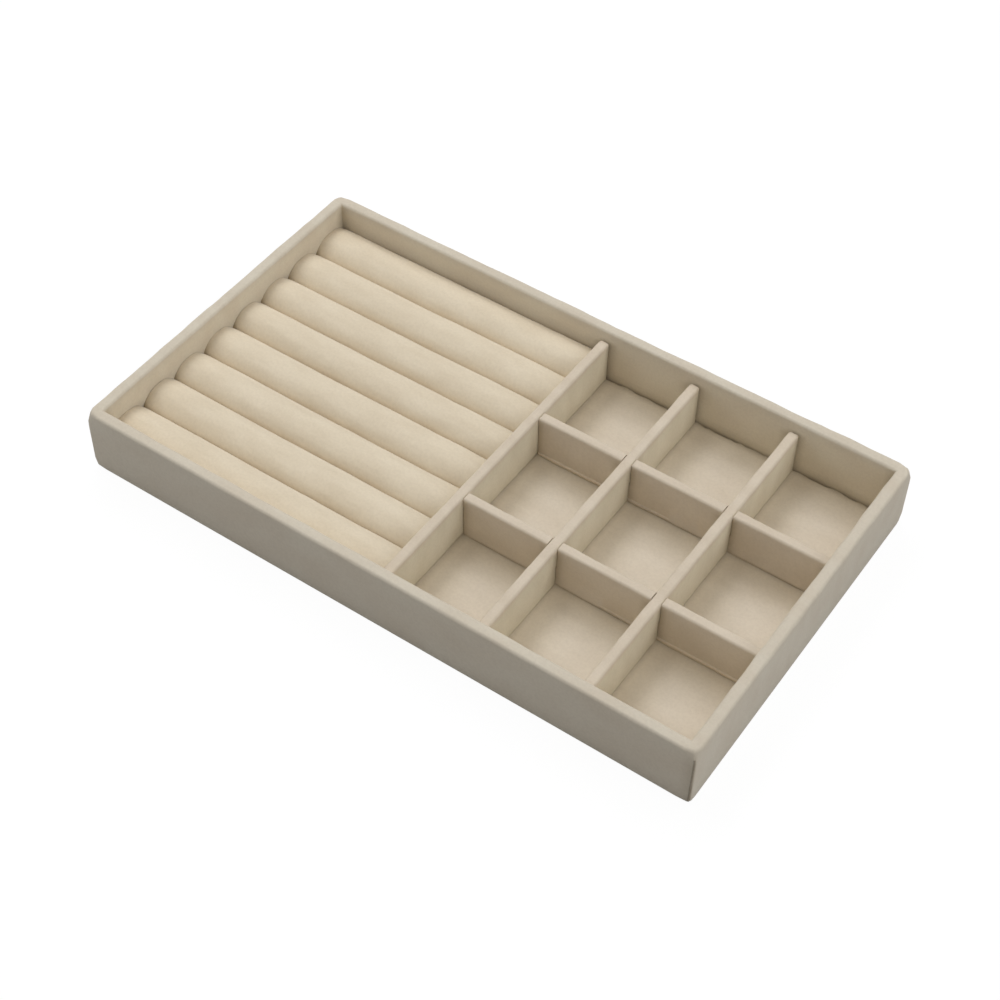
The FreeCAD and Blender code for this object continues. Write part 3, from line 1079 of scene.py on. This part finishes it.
@dataclass
class RingRolls:
    """The bank of padded rolls that hold rings upright in the creases between them."""

    count: int = 8
    sides: int = 96
    crown: float = 4.5 * MM
    slack: float = 0.4 * MM
    spare: float = 0.6 * MM
    end_spare: float = 3 * MM
    end_slope: float = 0.6 * MM
    end_reach: float = 4 * MM
    voxel: float = 1.3 * MM
    pressure: float = 200
    stiffness: float = 2
    mass: float = 0.002
    quality: int = 8
    moments: int = 20
    swell: float = 0.55 * MM
    waves: Waves = Waves(0.5 * MM, 24 * MM)
    fine_waves: Waves = Waves(0.14 * MM, 6 * MM)
    touch: Triple = (0.42 * MM, 0.15 * MM, 0)
    creases: Sequence[float] = (0.4 * MM, 0.35 * MM, 0.3 * MM, 0.3 * MM, 0, -0.25 * MM, 0.25 * MM)
    wander: float = 0.07 * MM
    wander_wave: float = 85 * MM
    wander_shift: float = 2.4
    lift: float = 1.2 * MM
    # Painted shade in the creases, in the pits where creases meet the walls, and at the foot of the ends.
    crease_shade: Shade = Shade(0.15, 1.1 * MM)
    pit_shade: Shade = Shade(0.85, 3.2 * MM)
    end_shade: Shade = Shade(0.5, 3.5 * MM)
    end_shade_top: float = 0.9 * MM

    def build(self) -> list[Workpiece]:
        """Shapes one roll, swells it and copies it along the bank.

        Returns:
            The rolls, front to back.
        """
        low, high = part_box("ring_roll_sleeve_1")
        first = self._pattern(low, high)
        self._swell(first)
        rolls = []
        for number in range(1, self.count + 1):
            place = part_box(f"ring_roll_sleeve_{number}")[0]
            roll = first.copy(f"ring_roll_{number}", Vector((0, place.y - low.y, 0)))
            roll.finish_with("SUBSURF", levels=1, render_levels=1)
            roll.ruffle(self.waves)
            roll.ruffle(self.fine_waves)
            self._fit(roll, number)
            roll.smooth()
            rolls.append(roll)
        bpy.data.objects.remove(first.piece)
        return rolls

    def _pattern(self, low: Vector, high: Vector) -> Workpiece:
        """Shapes the roll before it swells: a rod cut flat below and at both sides, longer than its bay.

        Args:
            low: the lowest corner of the first roll's room.
            high: the highest corner of its room.

        Returns:
            The pattern.
        """
        half = (high.y - low.y) / 2
        radius = (half ** 2 + self.crown ** 2) / (2 * self.crown)
        axis = Vector((0, (low.y + high.y) / 2, high.z - radius))
        start = axis + Vector((low.x - self.end_spare, 0, 0))
        end = axis + Vector((high.x + self.end_spare, 0, 0))
        roll = Workpiece.rod("ring_roll_pattern", start, end, radius - self.slack, self.sides)
        room = Vector((0, half + self.spare, 0))
        with roll.editing():
            roll.slice(axis + room, Axis.Y.unit())
            roll.slice(axis - room, -Axis.Y.unit())
            roll.slice(Vector((0, 0, low.z + self.slack / 2)), -Axis.Z.unit())
        roll.finish_with("REMESH", mode="VOXEL", voxel_size=self.voxel)

        def slope(point: Vector) -> Vector:
            """Lets the crown fall a little towards both ends."""
            from_end = min(point.x - low.x, high.x - point.x)
            share = (1 - clamp(from_end / self.end_reach)) ** 2
            point.z -= self.end_slope * share * (point.z - low.z) / (high.z - low.z)
            return point

        roll.nudge(slope)
        return roll

    def _swell(self, roll: Workpiece) -> None:
        """Swells a roll by cloth under pressure, no further than the set swell.

        Args:
            roll: the roll to swell.
        """
        roll.hold()
        before = [vertex.co.copy() for vertex in roll.piece.data.vertices]
        cloth = roll.piece.modifiers.new("swell", "CLOTH")
        cloth.settings.use_pressure = True
        cloth.settings.uniform_pressure_force = self.pressure
        cloth.settings.effector_weights.gravity = 0
        cloth.settings.mass = self.mass
        cloth.settings.tension_stiffness = cloth.settings.compression_stiffness = self.stiffness
        cloth.settings.quality = self.quality
        for moment in range(1, self.moments + 1):
            bpy.context.scene.frame_set(moment)
        bpy.ops.object.modifier_apply(modifier=cloth.name)
        bpy.context.scene.frame_set(1)
        moved = []
        for vertex, start in zip(roll.piece.data.vertices, before):
            step = vertex.co - start
            moved.append(step.length)
            if step.length > self.swell:
                vertex.co = start + step * (self.swell / step.length)
        LOG.info("swell %.2f to %.2f mm", min(moved) / MM, max(moved) / MM)

    def _side(self, number: int, x: float) -> float:
        """Gives how far the side between a roll and the next one lies from the middle of their gap.

        Args:
            number: the roll in front of the side, 0 for the front wall.
            x: the place along the roll.

        Returns:
            The distance, towards the back.
        """
        if number in (0, self.count):
            return 0
        turn = math.tau * x / self.wander_wave + self.wander_shift * number
        return self.creases[number - 1] + self.wander * math.sin(turn)

    def _fit(self, roll: Workpiece, number: int) -> None:
        """Presses a roll against its neighbours, the floor and the walls, and trims its ends to the bay.

        Args:
            roll: the roll.
            number: its number from the front.
        """
        low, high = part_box(f"ring_roll_sleeve_{number}")
        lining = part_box("floor_lining")[1].y + self.touch[0]
        start, end = low - Vector(self.touch), high + Vector(self.touch)
        front = -lining if number == 1 else start.y
        back = lining if number == self.count else end.y
        middle = (low.y + high.y) / 2

        def room(x: float) -> Span:
            """Gives where the roll's front and back lie at a place along it."""
            return front + self._side(number - 1, x), back + self._side(number, x)

        def press(point: Vector) -> Vector:
            """Moves a point into the roll's room, which is open above and at both ends."""
            share = (point.y - start.y) / (end.y - start.y)
            first, last = room(point.x)
            if (number == 1 and point.y < middle) or (number == self.count and point.y > middle):
                rise = (point.z - low.z) / (high.z - low.z)
                point.z += self.lift * min(1, abs(2 * share - 1)) ** 2 * rise
            point.y = first + (last - first) * clamp(share)
            point.z = max(point.z, start.z)
            return point

        def nook(point: Vector) -> float:
            """Says how dark a point is painted as shade in a crease or at the foot of an end."""
            first, last = room(point.x)
            gap = min(point.y - first, last - point.y)
            from_end = min(point.x - start.x, end.x - point.x)
            flank = 1 - ease(point.z, high.z - self.crown, high.z - self.end_shade_top)
            return max(self.crease_shade.at(gap), self.pit_shade.at(math.hypot(gap, from_end)),
                       self.end_shade.at(from_end) * flank)

        roll.nudge(press)
        with roll.editing():
            roll.slice(Vector((start.x, 0, 0)), -Axis.X.unit())
            roll.slice(Vector((end.x, 0, 0)), Axis.X.unit())
        # Paints shade into the creases and at the ends.
        roll.paint(PAINTED_SHADE, nook)


@dataclass
class BaseFelt:
    """The felt sheet under the tray."""

    edge_round: float = 0.3 * MM
    edge_steps: int = 2
    corner_round: float = 2 * MM
    corner_steps: int = 4

    def build(self) -> Workpiece:
        """Shapes the sheet from a thin block.

        Returns:
            The sheet.
        """
        low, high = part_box("base_sheet")
        felt = Workpiece.block("base_felt", low, high)
        with felt.editing():
            felt.round_edges(lambda a, b: along(a, b, Axis.Z), self.corner_round, self.corner_steps)
            felt.round_edges(lambda a, b: at(a.z, b.z) and not at(a.z, high.z), self.edge_round,
                             self.edge_steps)
        felt.smooth()
        return felt


@dataclass(frozen=True)
class SoftLamp:
    """A square soft lamp that faces the tray."""

    name: str
    place: Triple
    width: float
    power: float

    def hang(self) -> None:
        """Puts the lamp up."""
        lamp = bpy.data.lights.new(self.name, "AREA")
        lamp.shape = "SQUARE"
        lamp.size = self.width
        lamp.energy = self.power
        hung = bpy.data.objects.new(self.name, lamp)
        bpy.context.scene.collection.objects.link(hung)
        place = Vector(self.place)
        facing = (-place).to_track_quat("-Z", "Y").to_matrix().to_4x4()
        hung.matrix_world = Matrix.Translation(place) @ facing


@dataclass
class Studio:
    """The floor, the light and the camera."""

    camera_place: Triple = (0.28849, -0.42892, 0.58443)
    azimuth: float = 33.697
    elevation: float = 48.742
    roll: float = 1.29
    lens: float = 71.27
    sensor: float = 36
    ambient: float = 0.18
    floor_size: float = 12
    floor_drop: float = 0.05 * MM
    floor_bounce: float = 0.5
    floor_shade: float = 0.07
    floor_glow: float = 0.95
    lamps: Sequence[SoftLamp] = (
        SoftLamp("back_left_lamp", (-0.6, 0.8, 1.3), 0.8, 8.2),
        SoftLamp("back_right_lamp", (0.5, 0.9, 1.4), 1.0, 4),
        SoftLamp("left_lamp", (-0.87, 0.1, 1.43), 0.7, 6.6),
        SoftLamp("right_lamp", (1.45, -0.1, 0.85), 1.0, 8),
        SoftLamp("front_lamp", (0.3, -0.9, 1.5), 0.6, 1.8),
        SoftLamp("low_lamp", (-0.6, -0.6, 0.35), 0.4, 0.75),
    )

    def build(self) -> None:
        """Sets up the studio."""
        scene = bpy.context.scene
        scene.view_settings.view_transform = "Standard"
        self._camera(scene)
        for lamp in self.lamps:
            lamp.hang()
        self._floor()
        self._world(scene)

    def _camera(self, scene: bpy.types.Scene) -> None:
        """Sets the camera at the photograph's place and angle."""
        lens = bpy.data.cameras.new("camera")
        lens.lens = self.lens
        lens.sensor_width = self.sensor
        camera = bpy.data.objects.new("camera", lens)
        scene.collection.objects.link(camera)
        turn, rise = math.radians(self.azimuth), math.radians(self.elevation)
        back = Vector((math.sin(turn) * math.cos(rise), -math.cos(turn) * math.cos(rise), math.sin(rise)))
        level = (-back).to_track_quat("-Z", "Y").to_matrix()
        tipped = level @ Matrix.Rotation(math.radians(self.roll), 3, "Z")
        camera.matrix_world = Matrix.Translation(self.camera_place) @ tipped.to_4x4()
        scene.camera = camera

    def _floor(self) -> None:
        """Lays a pale floor that shows white but keeps the tray's shadow."""
        bpy.ops.object.select_all(action="DESELECT")
        bpy.ops.mesh.primitive_plane_add(size=self.floor_size, location=(0, 0, -self.floor_drop))
        floor = bpy.context.object
        floor.name = "floor"
        board = NodeBoard(bpy.data.materials.new("floor"))
        dull, shade = (board.shader("BsdfDiffuse", color=(light, light, light, 1))
                       for light in (self.floor_bounce, self.floor_shade))
        glow = board.shader("Emission", color=WHITE, strength=self.floor_glow)
        white = board.join("AddShader", shade, glow)
        floor.data.materials.append(board.close(board.join("MixShader", board.seen_directly(), dull, white)))

    def _world(self, scene: bpy.types.Scene) -> None:
        """Fills the studio with even light that shows as white."""
        board = NodeBoard(bpy.data.worlds.new("studio"), "OutputWorld")
        fill, white = (board.shader("Background", color=WHITE, strength=strength)
                       for strength in (self.ambient, 1))
        scene.world = board.close(board.join("MixShader", board.seen_directly(), fill, white))


@dataclass
class JewelryTray:
    """The whole tray, dressed piece by piece."""

    wall_cut: Span = (872 * MM, 72.5 * MM)
    floor_cut: Span = (268 * MM, 153 * MM)
    felt_cut: Span = (254 * MM, 139 * MM)
    long_cut: Span = (158 * MM, 46 * MM)
    strip_cut: Span = (136 * MM, 48 * MM)
    # The span of each strip whose hem stands proudest and is painted light.
    lit_hem_spans: Sequence[int] = (2, 0)
    boards: Sequence[str] = ("front_wall_board", "back_wall_board", "left_wall_board", "right_wall_board")

    def build(self) -> None:
        """Builds and dresses every piece that shows."""
        cover = TrayCover()
        walls = cover.build()
        walls.dress("tray", "wall_fabric", WALL_CLOTH.material(), "wall_wrap")
        lap = CornerLap(cover).build()
        lap.dress("tray", "wall_fabric", RAW_EDGE.material())
        floor = FloorCloth().build()
        floor.dress("tray", "lining_fabric", FLOOR_CLOTH.material(), "floor_lining")
        felt = BaseFelt().build()
        felt.dress("tray", "felt", FELT.material(), "base_sheet")
        upright_finish = (UPRIGHT_CLOTH.material(), self.long_cut)
        strip_finish = (DIVIDER_CLOTH.material(), self.strip_cut)
        for divider in self._dividers():
            made = divider.build()
            cloth, cut = upright_finish if divider.run is Axis.Y else strip_finish
            made.dress(divider.body, "divider_fabric", cloth, f"{divider.name}_wrap")
        velvet = ROLL_VELVET.material()
        for number, roll in enumerate(RingRolls().build(), start=1):
            roll.dress("tray", "roll_velvet", velvet, f"ring_roll_sleeve_{number}")
        self._dress_hidden()

    def _dividers(self) -> list[DividerCover]:
        """Lists the covers of the main divider and of the lattice."""
        fixed, *lifted = UPRIGHTS
        covers = [DividerCover(fixed, "tray", Axis.Y)]
        covers += [DividerCover(name, name, Axis.Y, Notches.BELOW, STRIPS) for name in lifted]
        covers += [StripCover(name, "cross_strips", Axis.X, Notches.ABOVE, lifted, lit_hem_span=span)
                   for name, span in zip(STRIPS, self.lit_hem_spans)]
        return covers

    def _dress_hidden(self) -> None:
        """Gives the boards, cores, card and foam under the cloth their own finish."""
        finishes = {finish.name: finish.material() for finish in (FIBREBOARD, CARD, FOAM)}
        for subpart in frame["record"]["subparts"]:
            finish = finishes.get(subpart["material_slot"])
            if finish:
                node = frame["nodes"][subpart["node"]]
                node.data.materials.clear()
                node.data.materials.append(finish)


def main() -> None:
    """Builds the studio and the tray."""
    logging.basicConfig(level=logging.INFO, format="%(name)s: %(message)s")
    Studio().build()
    JewelryTray().build()


if __name__ == "__main__":
    main()
